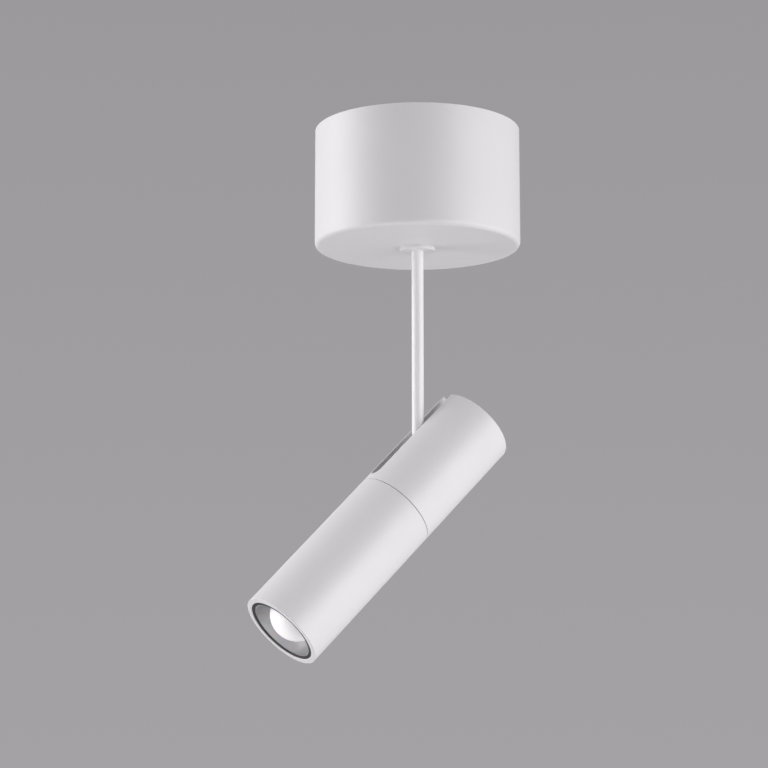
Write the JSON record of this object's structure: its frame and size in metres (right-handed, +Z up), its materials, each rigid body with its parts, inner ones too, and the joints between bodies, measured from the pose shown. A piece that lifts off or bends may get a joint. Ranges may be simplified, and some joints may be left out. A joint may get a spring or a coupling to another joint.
{
  "type": "surface mounted ceiling spotlight",
  "caption": "Round ceiling canopy with a thin turning rod and a tubular LED spot head that tilts on the rod's end in a slotted housing.",
  "frame": {"origin": "middle of the ceiling plate's mounting face, on the rod's axis", "axes": "+Z up into the ceiling; the head tilts in the XZ plane and its mouth points to -X and down at rest; +Y completes the frame"},
  "size_m": [0.1413, 0.104, 0.2709],
  "materials": {
    "white_coat": "satin powder coat",
    "zinc_steel": "zinc plated",
    "brass": "turned",
    "raw_aluminium": "turned",
    "led_board_white": "white solder mask on a metal core",
    "phosphor": "phosphor",
    "white_plastic": "moulded",
    "board_green": "circuit board with parts",
    "black_plastic": "moulded",
    "grey_pad": "soft pad",
    "reflector_metal": "satin metallised",
    "opal_lens": "frosted",
    "rubber": "moulded",
    "lead_sheath": "sheathed"
  },
  "bodies": {
    "canopy": {"ceiling_plate": "zinc_steel", "cable_grommet": "rubber", "canopy_shell": "white_coat", "canopy_grub_screws": "zinc_steel", "swivel_plate": "zinc_steel", "swivel_bush": "brass", "stop_pin": "zinc_steel", "driver_case": "white_plastic", "driver_board": "board_green", "driver_cover": "white_plastic", "terminal_block": "white_plastic", "terminal_screws": "zinc_steel", "cable_clamp": "zinc_steel", "plate_screws": "zinc_steel", "earth_washer": "zinc_steel", "earth_screw": "zinc_steel"},
    "rod": {"rod_tube": "white_coat", "rod_collar": "white_coat", "thrust_washer": "white_plastic", "stop_disc": "zinc_steel", "spring_washer": "zinc_steel", "rod_lock_nut": "zinc_steel", "rod_end_bush": "black_plastic", "rod_lead": "lead_sheath", "rod_knuckle": "zinc_steel"},
    "head": {"rear_housing": "white_coat", "rear_cap": "white_coat", "coupler": "raw_aluminium", "hinge_yoke": "zinc_steel", "yoke_screws": "zinc_steel", "friction_washers": "zinc_steel", "hinge_spring": "zinc_steel", "hinge_screw": "zinc_steel", "hinge_nut": "zinc_steel", "front_housing": "white_coat", "heat_sink": "raw_aluminium", "thermal_pad": "grey_pad", "led_board": "led_board_white", "led_emitter": "phosphor", "led_holder": "black_plastic", "holder_screws": "zinc_steel", "optic_holder": "black_plastic", "lens_dome": "opal_lens", "reflector": "reflector_metal", "black_ring": "black_plastic", "head_lead": "lead_sheath"}
  },
  "joints": [
    {"name": "rod_swivel", "type": "hinge", "parent": "canopy", "child": "rod", "pos_m": [0, 0, -0.061], "axis": [0, 0, 1], "range_deg": [-165, 165]},
    {"name": "head_tilt", "type": "hinge", "parent": "rod", "child": "head", "pos_m": [0, 0, -0.1816], "axis": [0, 1, 0], "range_deg": [-45, 45]}
  ]
}
